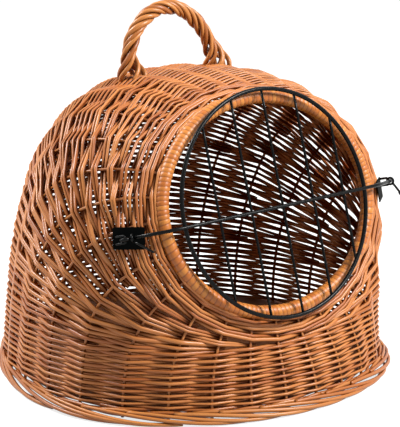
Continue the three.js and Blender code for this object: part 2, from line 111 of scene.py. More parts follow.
def rim_line(angle):
    """The middle of the rim roll: an ellipse in the plane of the mouth."""
    across = MOUTH_HALF_WIDTH * np.cos(angle)[..., None] * MOUTH_RIGHT
    return MOUTH_CENTRE + across + MOUTH_HALF_HEIGHT * np.sin(angle)[..., None] * MOUTH_UP


def stake_curves(angle):
    """Cubic curves from floor to rim: start (1-t)^3, two handles 3t(1-t)^2 and 3t^2(1-t), end t^3."""
    sine = np.sin(angle)[:, None]
    cosine = np.cos(angle)[:, None]
    foot = np.concatenate([floor_plan(angle), np.full((len(angle), 1), STAKE_FOOT_Z)], 1)
    rim = rim_line(angle)
    span = np.linalg.norm(rim - foot, axis=1, keepdims=True)
    outward = np.concatenate([cosine, sine, 0 * sine], 1)
    steep = np.radians(spread(*RIM_STEEP, sine))
    arrival = np.cos(steep) * (cosine * MOUTH_RIGHT + sine * MOUTH_UP) - np.sin(steep) * MOUTH_OUT
    low = foot + spread(*FOOT_PULL, sine) * span * (UPWARD - INWARD_LEAN * outward)
    high = rim + spread(*RIM_PULL, sine) * span * arrival
    t = np.linspace(0, 1, WALL_SAMPLES)[None, :, None]
    weights = ((1 - t) ** 3, 3 * t * (1 - t) ** 2, 3 * t**2 * (1 - t), t**3)
    return sum(w * p[:, None] for w, p in zip(weights, (foot, low, high, rim)))


column_angle = stake_angle(np.arange(COLUMNS) / STEPS)
wall = stake_curves(column_angle)
wall_up = unit(np.gradient(wall, axis=1))
wall_out = unit(np.cross(np.roll(wall, -1, 0) - np.roll(wall, 1, 0), wall_up))
climb = np.linalg.norm(np.diff(wall, axis=1), axis=2)
climb = np.concatenate([np.zeros((COLUMNS, 1)), np.cumsum(climb, 1)], 1)
print("a stake is %.0f mm long in front and %.0f mm behind" % (climb[0, -1], climb[:, -1].max()))


def on_wall(column, distance):
    """Place, outward and upward directions at a distance up a column, straight between samples."""
    low = (climb[column] <= distance[..., None]).sum(-1) - 1
    low = np.clip(low, 0, climb.shape[1] - 2)
    start, end = climb[column, low], climb[column, low + 1]
    part = ((distance - start) / (end - start))[..., None]
    place, out, up = (g[column, low] * (1 - part) + g[column, low + 1] * part
                      for g in (wall, wall_out, wall_up))
    return place, unit(out), unit(up)


# %% [markdown]
# ## How a rod becomes a mesh
# Nearly every piece here is a round rod that follows a path. One function makes a whole bundle
# of them at once: a ring of points at each station of each path, and four-sided faces between a
# ring and the next of the same rod. Curve objects with a bevel would do it too, but a mesh can
# carry the colour of each rod and the shade of its sides as attributes.

# %% A bundle of rods
SHADE_LOW = 0.2
SHADE_RANGE = 0.64
BACK_SHADE = 0.7


def make_piece(name, points, faces, smooth, uv=None, **attributes):
    """A mesh object from arrays in millimetres, with a UV map and point attributes if given."""
    mesh = bpy.data.meshes.new(name)
    mesh.from_pydata((points * MM).tolist(), [], faces.tolist())
    mesh.polygons.foreach_set("use_smooth", np.broadcast_to(smooth, len(faces)).tolist())
    if uv is not None:
        mesh.uv_layers.new(name="along").data.foreach_set("uv", uv.astype(np.float32).ravel())
    for label, values in attributes.items():
        field = mesh.attributes.new(label, "FLOAT", "POINT")
        field.data.foreach_set("value", values.astype(np.float32).ravel())
    mesh.validate()
    mesh.update()
    piece = bpy.data.objects.new(name, mesh)
    bpy.context.scene.collection.objects.link(piece)
    print("%-16s %6d faces" % (name, len(faces)))
    return piece


def same_rod(rod):
    """True where the next station belongs to the same rod."""
    return np.append(rod[1:] == rod[:-1], False)


def rods(path, radius, facing, rod, sides=8, wide=None, section=None, open_sides=0.0, tint=None):
    """Tubes round paths: path + radius (cos a outward + sin a sideways), closed by flat ends.

    outward is the facing direction squared to the path, and sideways is path x outward. A width
    of its own makes the section an oval, and a section of (out, side) points takes its place.
    The shade attribute is painted shade: lowest where rods touch, it grows with cos a in front
    and, less, with -cos a behind, and a shift of painted shade given per station is added to it.
    """
    go_on = same_rod(rod)
    after = np.where(go_on[:, None], np.roll(path, -1, 0), path)
    before = np.where(np.roll(go_on, 1)[:, None], np.roll(path, 1, 0), path)
    along = unit(after - before)
    outward = unit(facing - (facing * along).sum(1, keepdims=True) * along)
    sideways = np.cross(along, outward)
    turn = 2 * np.pi * np.arange(sides) / sides
    section = np.stack([np.cos(turn), np.sin(turn)], -1) if section is None else section
    radius = np.reshape(radius, (-1, 1, 1))
    wide = radius if wide is None else np.reshape(wide, (-1, 1, 1))
    ring = radius * outward[:, None] * section[:, :1] + wide * sideways[:, None] * section[:, 1:]
    points = path[:, None] + ring
    station = np.flatnonzero(go_on)[:, None] * sides
    here, there = np.arange(sides), (np.arange(sides) + 1) % sides
    skin = np.stack([station + here, station + there, station + sides + there,
                     station + sides + here], -1)
    ladder = np.arange(sides // 2 - 1)
    rungs = np.stack([ladder, sides - 1 - ladder, sides - 2 - ladder, ladder + 1], -1)
    first = np.flatnonzero(np.append(True, ~go_on[:-1]))[:, None, None] * sides + rungs
    last = np.flatnonzero(~go_on)[:, None, None] * sides + rungs[:, ::-1]
    faces = np.concatenate([skin.reshape(-1, 4), first.reshape(-1, 4), last.reshape(-1, 4)])
    gone = np.append(0.0, np.cumsum(np.linalg.norm(np.diff(path, axis=0), axis=1)))
    u = gone[:, None] + 0 * turn
    v = np.broadcast_to(here / sides, u.shape)
    uv = np.stack([u, v], -1).reshape(-1, 2)[faces]
    skinned = skin.size // 4
    uv[:skinned, 1:3, 1] += (faces[:skinned, 1:3] % sides == 0)
    uv[..., 0] *= MM
    smooth = np.arange(len(faces)) < skinned
    # Painted shade: darkest where rods touch, a little darker on the inner face than the outer one.
    open_face = np.maximum(np.cos(turn), -BACK_SHADE * np.cos(turn))
    shade = SHADE_LOW + SHADE_RANGE * open_face + np.reshape(open_sides, (-1, 1))
    shade = np.clip(shade, 0, 1)
    shade = np.broadcast_to(shade, (len(path), sides))
    tint = np.zeros(len(path)) if tint is None else tint
    tint = np.broadcast_to(tint[:, None], (len(path), sides))
    return points.reshape(-1, 3), faces, smooth, uv, shade, tint


def add_rods(name, body, slot, nodes, *args, **kwargs):
    """A bundle of rods as one piece that rides on a body and stands for CAD nodes."""
    points, faces, smooth, uv, shade, tint = rods(*args, **kwargs)
    piece = make_piece(name, points, faces, smooth, uv, shade=shade, tint=tint)
    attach(piece, body)
    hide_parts(*nodes)
    return piece


# %% [markdown]
# ## Rows of the weave
# Stakes at the front are short and those at the back are long, but rods are all about as thick.
# A weaver keeps the rows level by adding rows at the back that don't reach the front. Here the
# lowest and the highest rows go all the way round, and groups of extra rows start wherever the
# wall has grown tall enough. The groups are spread evenly over the height, by counting their
# numbers with the binary digits reversed, so that the rows fan out smoothly. A group has two rods
# low on the wall and four nearer to the mouth. Heights are averaged over a gap to each side, so
# that no rod turns sharply where a group ends.

# %% Where the rows run
PITCH = 3.25
LOOSE_PITCH = 4.2
DOUBLE_PITCH = 3.4
FOOT_ROWS = 19
RIM_ROWS = 7
RIM_PITCH = 3.75
ROWS_START = -3.0
ROWS_END = 5.5
GROUPS = 41
SINGLE_GROUPS = 17
FADE = 16.0
LEAST_WEIGHT = 0.4
SIDE_LOOSE = 0.18
DIGITS = 6

group = np.arange(GROUPS)
is_double = group >= SINGLE_GROUPS
group_rods = np.where(is_double, 4, 2)
loosened = PITCH + (LOOSE_PITCH - PITCH) * group / SINGLE_GROUPS
group_pitch = np.where(is_double, DOUBLE_PITCH, loosened)
tall = group_rods * group_pitch
digits = sum(((group >> b) & 1) << (DIGITS - 1 - b) for b in range(DIGITS))
added = np.argsort(digits)
needs = np.zeros(GROUPS)
needs[added] = np.cumsum(tall[added]) - tall[added]
wale_start = climb[:, -1] - ROWS_END - RIM_ROWS * RIM_PITCH
room = wale_start - ROWS_START
foot_room = FOOT_ROWS * PITCH
at_side = np.cos(column_angle) ** 2
wanted = (room - foot_room) * (1 - SIDE_LOOSE * at_side)
fade = (tall + np.minimum(needs, FADE))[:, None]
weight = np.clip(0.5 + (wanted - (needs + tall / 2)[:, None]) / fade, 0, 1)
filled = weight * tall[:, None]
stretch = (room - foot_room) / filled.sum(0)
group_foot = np.cumsum(filled, 0) - filled

row_group = np.repeat(group, group_rods)
slot = np.arange(len(row_group)) - np.repeat(np.cumsum(group_rods) - group_rods, group_rods)
foot_rows = PITCH * (np.arange(FOOT_ROWS)[:, None] + 0.5) + 0 * room
in_group = weight[row_group] * (group_pitch[row_group] * (slot + 0.5))[:, None]
group_rows = foot_room + stretch * (group_foot[row_group] + in_group)
low_share = np.concatenate([foot_rows, group_rows]) / room
low_share = sum(np.roll(low_share, i, 1) for i in range(-STEPS, STEPS + 1)) / (2 * STEPS + 1)
rim_rows = wale_start + RIM_PITCH * (np.arange(RIM_ROWS)[:, None] + 0.5)
row_height = np.concatenate([ROWS_START + room * low_share, rim_rows])
ROWS = len(row_height)
present = np.ones((ROWS, COLUMNS), bool)
present[FOOT_ROWS:ROWS - RIM_ROWS] = weight[row_group] > LEAST_WEIGHT
print(ROWS, "rows, of which", len(row_group), "don't reach the front")

# %% [markdown]
# In front and behind alternate from row to row in the lower wall. Nearer to the mouth the weaver
# takes two rods at once, so two rows go the same way, and over the right side and the back they
# part again. The rows at the rim are a wale, in front of three stakes and behind one. So each row
# has a side at each stake.

# %% In front of a stake or behind it
BACK_FIRST = 6
BACK_LAST = 16
BACK_JITTER = 2
stake = np.arange(STAKES)
first_back = BACK_FIRST + rng.integers(-BACK_JITTER, BACK_JITTER + 1, GROUPS)[row_group][:, None]
last_back = BACK_LAST + rng.integers(-BACK_JITTER, BACK_JITTER + 1, GROUPS)[row_group][:, None]
double_row = is_double[row_group]
inner = (double_row & ((slot == 1) | (slot == 2)))[:, None]
parts = inner & (stake >= first_back) & (stake <= last_back)
together = np.where(double_row, slot // 2, slot)[:, None] + parts + FOOT_ROWS
parity = np.concatenate([np.arange(FOOT_ROWS)[:, None] + 0 * stake, together])
wale_dip = (np.arange(RIM_ROWS)[:, None] + stake) % 4 == 0
behind = np.concatenate([(parity + stake) % 2 == 1, wale_dip])
print(int(is_double.sum()), "groups are woven with two rods at once")

# %% [markdown]
# ## The path of each rod
# Between two stakes a rod is pulled nearly straight, and at each stake it bends, so its depth goes
# from one stake's side to the next one's. A cosine would be too soft for that, so its bends are
# sharpened by an arcsine. Rods are as long as willow grows, about ten gaps, and start and end
# behind a stake.

# %% Weave the rods
STAKE_RADIUS = 1.7
ROD_SHARE = 0.53
DOUBLE_SHARE = 0.48
WALE_RADIUS = 2.0
WEAVE_DEPTH = STAKE_RADIUS + ROD_SHARE * PITCH
TENSION = 0.95
UNEVEN = 0.3
SHARP = 0.97
ROD_GAPS = (8, 12)
REACH = 2
TUCK = 1.6
TUCK_STEPS = 4
THICK_SPREAD = 0.09
THICK_LIMITS = (0.8, 1.2)
TAPER = 0.18
TIP = 0.7
TINT_SHAPE = 2.2
SHADE_BEHIND = 0.45
LOOSEST = 1.3

row_place, row_out, row_up = on_wall(np.tile(np.arange(COLUMNS), (ROWS, 1)), row_height)
between = np.arange(STEPS)[:, None] / STEPS
at_stake = row_place[:, ::STEPS, None]
at_next = np.roll(row_place[:, ::STEPS], -1, 1)[:, :, None]
chord = (at_stake * (1 - between) + at_next * between).reshape(ROWS, COLUMNS, 3)
row_place = row_place + TENSION * (chord - row_place)
bump = rng.normal(0, UNEVEN, (ROWS, STAKES, 1))
wobble = bump * (1 - between[:, 0]) + np.roll(bump, -1, 1) * between[:, 0]
row_place = row_place + wobble.reshape(ROWS, COLUMNS, 1) * row_up

side = np.where(behind, -1.0, 1.0)[..., None]
ease = 0.5 - 0.5 * np.arcsin(SHARP * np.cos(np.pi * between[:, 0])) / np.arcsin(SHARP)
wave = (side + (np.roll(side, -1, 1) - side) * ease).reshape(ROWS, COLUMNS)
row_path = row_place + (WEAVE_DEPTH * wave)[..., None] * row_out


def cut_row(row):
    """Splits a row into rods between stakes that it passes behind, as columns (first, last)."""
    stops = np.flatnonzero(behind[row])
    if present[row].all():
        stops = np.append(stops, stops[0] + STAKES)
    else:
        ends = np.flatnonzero(present[row])[[0, -1]] / STEPS
        first, last = np.abs(stops - ends[:, None]).argmin(1)
        stops = stops[first:last + 1]
    cuts = [0]
    while cuts[-1] < len(stops) - 1:
        step = round(rng.uniform(*ROD_GAPS) * behind[row].mean())
        left = len(stops) - 1 - cuts[-1] - step
        cuts.append(cuts[-1] + step if left > 1 else len(stops) - 1)
    return [(row, stops[a] * STEPS, stops[b] * STEPS) for a, b in zip(cuts, cuts[1:])]


cut = [piece for row in range(ROWS) for piece in cut_row(row)]
lengths = np.array([b - a + 2 * REACH + 1 for _, a, b in cut])
rod = np.repeat(np.arange(len(cut)), lengths)
row = np.repeat([r for r, _, _ in cut], lengths)
step = np.arange(lengths.sum()) - np.repeat(np.cumsum(lengths) - lengths, lengths)
column = (np.repeat([a - REACH for _, a, _ in cut], lengths) + step) % COLUMNS
share = step / np.repeat(lengths - 1, lengths)
from_end = np.minimum(step, np.repeat(lengths, lengths) - 1 - step)
tucked = -TUCK * np.clip(1 - from_end / TUCK_STEPS, 0, 1)
path = row_path[row, column] + tucked[:, None] * row_out[row, column]
grown = np.where(rng.random(len(cut)) < 0.5, 1, -1)[rod] * (share - 0.5)
thick = rng.normal(1, THICK_SPREAD, len(cut)).clip(*THICK_LIMITS)[rod] * (1 + TAPER * grown)
tip = np.where(from_end == 0, TIP, 1.0)
rod_tint = rng.beta(TINT_SHAPE, TINT_SHAPE, len(cut))
# Painted shade on each rod where it passes behind a stake.
behind_painted_shade = SHADE_BEHIND * np.minimum(wave[row, column], 0)

rim_side = row >= ROWS - RIM_ROWS
low_side = row < ROWS / 2
group_share = np.where(is_double, DOUBLE_SHARE, ROD_SHARE)
row_radius = np.concatenate([np.full(FOOT_ROWS, ROD_SHARE * PITCH),
                             (group_share * group_pitch)[row_group],
                             np.full(RIM_ROWS, WALE_RADIUS)])
loose = np.where(row < FOOT_ROWS, 1.0, stretch[column]).clip(1, LOOSEST)
radius = row_radius[row] * np.where(rim_side, 1.0, loose) * thick * tip
weave = []
for name, part in (("weave_low", low_side), ("weave_high", ~low_side & ~rim_side),
                   ("weave_wale", rim_side)):
    weave.append(add_rods(name, "basket", "willow_weave", ["woven_wall"], path[part], radius[part],
                          row_out[row, column][part], rod[part], open_sides=behind_painted_shade[part],
                          tint=rod_tint[rod][part]))
print(len(cut), "rods in the wall")

# %% [markdown]
# ## Stakes
# The stakes are single willow rods, about as thick as the weavers and thinner towards the rim.
# They stand on the same curves as the wall, so they show as short light uprights wherever a row
# passes behind them.

# %% Raise the stakes
STAKE_SAMPLES = 48
RIM_SEAT = 5.0
STAKE_BELOW = 8.0
STAKE_BUTT = 1.05
STAKE_TAPER = 0.15
stake_column = np.repeat(np.arange(STAKES) * STEPS, STAKE_SAMPLES)
stake_share = np.tile(np.linspace(0, 1, STAKE_SAMPLES), STAKES)
stake_length = climb[stake_column, -1] - RIM_SEAT + STAKE_BELOW
place, out, _ = on_wall(stake_column, stake_share * stake_length - STAKE_BELOW)
stakes = add_rods("stakes", "basket", "willow_stakes",
                  ["stake_%02d" % (i + 1) for i in range(STAKES)], place,
                  STAKE_RADIUS * (STAKE_BUTT - STAKE_TAPER * stake_share), out, stake_column,
                  tint=rng.random(STAKES)[stake_column // STEPS])

# %% [markdown]
# ## Foot border
# At the foot each border rod leaves the wall beside a stake, runs outwards and down over the next
# three, and is cut off underneath. The rods lie on each other like roof tiles. Five control
# points of an offset from the stakes and a height give one rod, and each rod is the last one
# moved on by a stake. Behind, the border stands out less. Above it a pair of rods runs round the
# foot of the wall, twisted once from stake to stake.

# %% Lay the border
BORDER_GAPS = 3.6
BORDER_RADIUS = 2.15
BORDER_SAMPLES = 36
BORDER_OFFSET = np.array([6.0, 5.0, 12.5, 14.5, 8.0])
BORDER_HEIGHT = np.array([12.5, 12.5, 6.0, 2.2, 2.2])
BORDER_START = 0.15
BORDER_UNEVEN = 0.12
BORDER_THICK = (0.9, 1.1)
BORDER_REACH = 1.2
BORDER_BEHIND = 0.6
# Tilts the border rods' painted shade upward, so that their upper sides are painted lighter.
BORDER_SHADE_TILT = 0.4
PAIR_OFFSET = 4.5
PAIR_HEIGHT = 11.0
PAIR_SWING = 2.1
PAIR_STEPS = 12
PAIR_TINT = np.array([0.3, 0.7])


def quartic(control, t):
    """A smooth curve through five control values, weighted 1 4 6 4 1 times t and 1-t powers."""
    return sum(n * t**i * (1 - t) ** (4 - i) * control[i] for i, n in enumerate((1, 4, 6, 4, 1)))


border_share = np.tile(np.linspace(0, 1, BORDER_SAMPLES), STAKES)
border_rod = np.repeat(np.arange(STAKES), BORDER_SAMPLES)
length_share = 1 + rng.uniform(-BORDER_UNEVEN, BORDER_UNEVEN, STAKES)[border_rod]
border_angle = stake_angle(border_rod + BORDER_START + BORDER_GAPS * border_share * length_share)
plan = floor_plan(border_angle)
outward = unit(np.concatenate([floor_plan(border_angle, 10.0) - plan, 0 * plan[:, :1]], 1))
border = np.concatenate([plan, quartic(BORDER_HEIGHT, border_share)[:, None]], 1)
border_reach = BORDER_REACH - BORDER_BEHIND * np.clip(2 * np.sin(border_angle) - 0.2, 0, 1)
border = border + (border_reach * quartic(BORDER_OFFSET, border_share))[:, None] * outward
border_thick = BORDER_RADIUS * rng.uniform(*BORDER_THICK, STAKES)[border_rod]
border_tint = rng.random(STAKES)[border_rod]

pair_step = np.tile(np.arange(STAKES * PAIR_STEPS + 1), 2)
pair_rod = np.repeat([0, 1], STAKES * PAIR_STEPS + 1)
twist = np.pi * (pair_step / PAIR_STEPS + pair_rod)
pair_plan = floor_plan(stake_angle(pair_step / PAIR_STEPS))
pair_out = unit(np.concatenate([pair_plan - [0, BASE_MIDDLE_Y], 0 * pair_plan[:, :1]], 1))
pair = np.concatenate([pair_plan, (PAIR_HEIGHT + PAIR_SWING * np.cos(twist))[:, None]], 1)
pair = pair + (PAIR_OFFSET + 0.5 * PAIR_SWING * np.sin(twist))[:, None] * pair_out
foot_border = add_rods("foot_border_rods", "basket", "willow_weave", ["foot_border"],
                       np.concatenate([border, pair]),
                       np.append(np.minimum(border_thick, border[:, 2]), 0 * twist + BORDER_RADIUS),
                       np.concatenate([outward, pair_out]) + BORDER_SHADE_TILT * UPWARD,
                       np.append(border_rod, STAKES + pair_rod),
                       tint=np.append(border_tint, PAIR_TINT[pair_rod]))

# %% [markdown]
# ## Floor board
# A thin board fills the foot inside the weave. It is a straight prism: the floor plan, drawn in
# to stay clear of the stakes, is the section of a short upright path. So it needs no function of
# its own, and its edge stays hidden behind the weave.

# %% Fit the floor board
BOARD_INSET = 5.0
BOARD_THICKNESS = 5.0
BOARD_SIDES = 96
board_angle = 2 * np.pi * np.arange(BOARD_SIDES) / BOARD_SIDES
board_middle = np.array([[0.0, BASE_MIDDLE_Y, STAKE_FOOT_Z],
                         [0.0, BASE_MIDDLE_Y, STAKE_FOOT_Z + BOARD_THICKNESS]])
board_section = floor_plan(board_angle, -BOARD_INSET) - [0, BASE_MIDDLE_Y]
floor_board = add_rods("floor_board", "basket", "plywood", ["floor_panel"], board_middle,
                       np.ones(2), np.tile(MOUTH_RIGHT, (2, 1)), np.zeros(2, int),
                       sides=BOARD_SIDES, section=board_section)

# %% [markdown]
# ## Rim
# The edge of the mouth is a hoop wrapped closely in split willow. The wrapping is a helix: a
# seam that goes once round the roll moves on by one band. So the radius is a saw tooth of the
# place along the rim plus the turn round the roll, and the same sum is stored as the UV map, from
# which the finish takes a colour for each band.

# %% Wrap the rim
RIM_RADIUS = 7.5
RIM_BANDS = 140
RIM_STEPS = RIM_BANDS * 7
RIM_SIDES = 18
BAND_RISE = 0.5
BAND_UNEVEN = 0.2
BAND_ROUND = 0.7


def tube_ring(centre, first, second, radius):
    """A closed ring: centre + radius (cos a first + sin a second), on a grid of station and a."""
    turn = 2 * np.pi * np.arange(radius.shape[1]) / radius.shape[1]
    section = first[:, None] * np.cos(turn)[:, None] + second[:, None] * np.sin(turn)[:, None]
    return centre[:, None] + radius[..., None] * section


def ring_faces(stations, sides):
    """Four-sided faces of a grid that closes on itself both ways, and their (station, side)."""
    s, a = np.meshgrid(np.arange(stations), np.arange(sides), indexing="ij")
    corners = np.stack([np.stack([s, a], -1), np.stack([s + 1, a], -1),
                        np.stack([s + 1, a + 1], -1), np.stack([s, a + 1], -1)], -2).reshape(-1, 4, 2)
    faces = corners[..., 0] % stations * sides + corners[..., 1] % sides
    return faces, corners


rim_angle = stake_angle(np.arange(RIM_STEPS) / RIM_STEPS * STAKES)
rim_centre = rim_line(rim_angle)
rim_out = unit(np.cos(rim_angle)[:, None] / MOUTH_HALF_WIDTH * MOUTH_RIGHT
               + np.sin(rim_angle)[:, None] / MOUTH_HALF_HEIGHT * MOUTH_UP)
band = RIM_BANDS * np.arange(RIM_STEPS)[:, None] / RIM_STEPS + np.arange(RIM_SIDES) / RIM_SIDES
lap = band % 1.0
band_number = np.floor(band).astype(int) % RIM_BANDS
band_height = rng.uniform(-BAND_UNEVEN, BAND_UNEVEN, RIM_BANDS)[band_number]
rim_radius = RIM_RADIUS - BAND_RISE + (BAND_RISE + band_height) * np.sin(np.pi * lap) ** BAND_ROUND
faces, corners = ring_faces(RIM_STEPS, RIM_SIDES)
points = tube_ring(rim_centre, rim_out, np.tile(MOUTH_OUT, (RIM_STEPS, 1)), rim_radius)
rim_uv = np.stack([corners[..., 0] / RIM_STEPS * RIM_BANDS + corners[..., 1] / RIM_SIDES,
                   corners[..., 1] / RIM_SIDES], -1)
rim = make_piece("rim_wrapping", points.reshape(-1, 3), faces[:, ::-1], True, rim_uv[:, ::-1])
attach(rim, "basket")
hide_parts("rim_roll")

# %% [markdown]
# ## Handle
# The handle is a bundle of thick rods, twisted like a rope into one arch and parted at both feet,
# where each rod goes down between the rows of the crown. A strand is a helix round the arch: the
# arch's own curve, plus a circle in the plane square to it whose angle grows along the arch. Near
# the feet the circle opens, which spreads the strands.

# %% Twist the handle
HANDLE_Y = 18.0
HANDLE_HALF_SPAN = 59.0
HANDLE_LEAN = 10.0
HANDLE_RISE = 73.0
STRANDS = 6
STRAND_RADIUS = 3.1
ROPE_RADIUS = 5.6
ROPE_TURNS = -3.0
FOOT_SPREAD = 15.0
FOOT_HEIGHT = 26.0
FOOT_SHIFT = 5.0
STRAND_SAMPLES = 90
SUNK = 8.0
STRAND_UNEVEN = (0.8, 1.2)
STRAND_JITTER = 0.05
FOOT_CURVE = 1.2


def crown(x, y):
    """The height of the wall's upper face above a place, from its nearest sample."""
    top = wall[..., 2] > MOUTH_CENTRE[2]
    samples = wall[top]
    away = (samples[:, 0] - x[:, None]) ** 2 + (samples[:, 1] - y[:, None]) ** 2
    return samples[away.argmin(1), 2] + WEAVE_DEPTH


strand_share = np.tile(np.linspace(0, 1, STRAND_SAMPLES), STRANDS)
strand = np.repeat(np.arange(STRANDS), STRAND_SAMPLES)
arch = np.pi * (1 - strand_share)
foot_z = crown(np.array([HANDLE_HALF_SPAN]), np.array([HANDLE_Y]))[0]
height = HANDLE_RISE * np.sin(arch)
arch_line = np.stack([HANDLE_HALF_SPAN * np.cos(arch) - HANDLE_LEAN * np.sin(arch),
                      np.full_like(arch, HANDLE_Y), foot_z + height], 1)
arch_way = unit(np.stack([HANDLE_HALF_SPAN * np.sin(arch) + HANDLE_LEAN * np.cos(arch), 0 * arch,
                          -HANDLE_RISE * np.cos(arch)], 1))
backward = np.array([0.0, 1.0, 0.0])
arch_out = -np.cross(backward, arch_way)
opened = np.clip(1 - height / FOOT_HEIGHT, 0, 1)
arch_line[:, 0] += FOOT_SHIFT * opened
strand_thick = STRAND_RADIUS * rng.uniform(*STRAND_UNEVEN, STRANDS)[strand]
strand_turn = rng.uniform(-STRAND_JITTER, STRAND_JITTER, STRANDS)[strand]
reach = ROPE_RADIUS + (FOOT_SPREAD - ROPE_RADIUS) * opened**FOOT_CURVE
turn = 2 * np.pi * (ROPE_TURNS * strand_share + strand / STRANDS + strand_turn)
rope = arch_line + reach[:, None] * (np.cos(turn)[:, None] * arch_out
                                     + np.sin(turn)[:, None] * backward)
is_foot = (strand_share == 0) | (strand_share == 1)
rope[is_foot, 2] = crown(rope[is_foot, 0], rope[is_foot, 1]) - SUNK
strand_out = unit(rope - arch_line)
handle = add_rods("handle_rope", "basket", "willow_rim",
                  ["handle_strand_%d" % (i + 1) for i in range(STRANDS)], rope,
                  strand_thick, strand_out, strand, sides=10,
                  tint=rng.random(STRANDS)[strand])

# %% [markdown]
# ## Door
# The door is a hoop of thick black wire with five thinner bars welded into it. It hangs on a
# cross rod, which turns on a staple at the left and hooks over one at the right. All of it lies
# in the plane of the mouth, a little rolled as it hangs, so its points are given in that plane's
# own directions: x to the right, y up and z out of the mouth.

# %% Hoop and bars
DOOR_ROLL = np.radians(1.2)
DOOR_X = np.cos(DOOR_ROLL) * MOUTH_RIGHT + np.sin(DOOR_ROLL) * MOUTH_UP
DOOR_Y = np.cos(DOOR_ROLL) * MOUTH_UP - np.sin(DOOR_ROLL) * MOUTH_RIGHT
DOOR_AXES = np.stack([DOOR_X, DOOR_Y, MOUTH_OUT])
HOOP_Z = 15.5
HOOP_RADIUS = 123.0
HOOP_WIRE = 2.35
BAR_WIRE = 1.5
BARS = 5
BAR_SAMPLES = 12
BAR_X = 8.0 + 42.5 * (np.arange(BARS) - BARS // 2)
ANY_WAY = np.array([0.31, 0.57, 0.76])


def in_door(points):
    """Points of the door's plane (x, y, z) in the part's frame."""
    return MOUTH_CENTRE + np.asarray(points, float) @ DOOR_AXES


def add_ring(name, body, nodes, centre, axis, radius, wire, stations=96, sides=12):
    """A wire ring: a circle of the given radius round an axis, with a round section."""
    axis = unit(np.asarray(axis, float))
    side = unit(np.cross(axis, ANY_WAY))
    turn = 2 * np.pi * np.arange(stations)[:, None] / stations
    spoke = np.cos(turn) * side + np.sin(turn) * np.cross(axis, side)
    points = tube_ring(centre + radius * spoke, spoke, np.tile(axis, (stations, 1)),
                       np.full((stations, sides), wire))
    faces, _ = ring_faces(stations, sides)
    piece = make_piece(name, points.reshape(-1, 3), faces, True)
    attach(piece, body)
    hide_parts(*nodes)
    return piece


hoop = add_ring("door_hoop", "door", ["door_ring"], in_door([0, 0, HOOP_Z]), MOUTH_OUT,
                HOOP_RADIUS, HOOP_WIRE, stations=160)
bar_half = np.sqrt(HOOP_RADIUS**2 - BAR_X**2)
bar_y = (bar_half[:, None] * np.linspace(-1, 1, BAR_SAMPLES)).ravel()
bar_number = np.repeat(np.arange(BARS), BAR_SAMPLES)
bar_points = np.stack([BAR_X[bar_number], bar_y, np.full_like(bar_y, HOOP_Z)], 1)
bars = add_rods("door_bars", "door", "black_wire", ["door_bar_%d" % (i + 1) for i in range(BARS)],
                in_door(bar_points), np.full_like(bar_y, BAR_WIRE),
                np.tile(MOUTH_OUT, (len(bar_y), 1)), bar_number, sides=10)

# %% [markdown]
# ## Cross rod and staples
# Bent wire has straight runs and rounded corners. Each corner is a short curve from a point
# before it to a point after it, pulled towards the corner itself. The rod's left end has an eye
# round the upright of the hinge staple, and its right end curls over the latch staple, which
# lets go as the door swings out.

# %% Bend the rod and the staples
ROD_WIRE = 2.0
STAPLE_WIRE = 1.4
EYE_PLAY = 0.6
EYE_RADIUS = STAPLE_WIRE + EYE_PLAY + ROD_WIRE
HINGE_BAR = np.array([-180.846, -5.0, -12.267])
LATCH_BAR = np.array([180.826, -5.0, -11.985])
KNEE_LEFT = np.array([-140.0, -5.0, 20.3])
KNEE_RIGHT = np.array([140.0, -5.0, 20.3])
KNEE_ROUND = 14.0
HOOK_END = np.radians(-20)
HOOK_SAMPLES = 12
CORNER_SHARE = 0.48


def bend_wire(points, radius, steps=8):
    """Straight runs through points. A corner is (1-t)^2 before + 2t(1-t) corner + t^2 after."""
    points = np.asarray(points, float)
    into = np.diff(points, axis=0)
    length = np.linalg.norm(into, axis=1, keepdims=True)
    cut = np.minimum(radius, CORNER_SHARE * np.minimum(length[:-1], length[1:]))
    before = points[1:-1] - cut * into[:-1] / length[:-1]
    after = points[1:-1] + cut * into[1:] / length[1:]
    t = np.linspace(0, 1, steps)[:, None]
    curve = ((1 - t) ** 2 * before[:, None] + 2 * t * (1 - t) * points[1:-1, None]
             + t**2 * after[:, None])
    return np.concatenate([points[:1], curve.reshape(-1, 3), points[-1:]])


def add_wire(name, body, nodes, path, radius, facing, wide=None):
    """One bent wire of the door's hardware as a piece."""
    return add_rods(name, body, "black_wire", nodes, path, np.broadcast_to(radius, len(path)),
                    np.tile(facing, (len(path), 1)), np.zeros(len(path), int), sides=12, wide=wide)


to_hinge = unit(HINGE_BAR - KNEE_LEFT)
from_latch = KNEE_RIGHT - LATCH_BAR
hook_start = np.arctan2(from_latch[2], from_latch[0]) - np.arccos(
    EYE_RADIUS / np.linalg.norm(from_latch))
hook_turn = np.linspace(hook_start, HOOK_END, HOOK_SAMPLES)
hook = LATCH_BAR + EYE_RADIUS * np.stack([np.cos(hook_turn), 0 * hook_turn, np.sin(hook_turn)], 1)
rod_path = bend_wire([HINGE_BAR - EYE_RADIUS * to_hinge, KNEE_LEFT, KNEE_RIGHT, hook[0]],
                     KNEE_ROUND)
cross_rod = add_wire("cross_rod_wire", "door", ["cross_rod"],
                     in_door(np.concatenate([rod_path, hook[1:]])), ROD_WIRE, DOOR_Y)
hinge_eye = add_ring("hinge_eye", "door", ["cross_rod"], in_door(HINGE_BAR), DOOR_Y, EYE_RADIUS,
                     ROD_WIRE, stations=28)

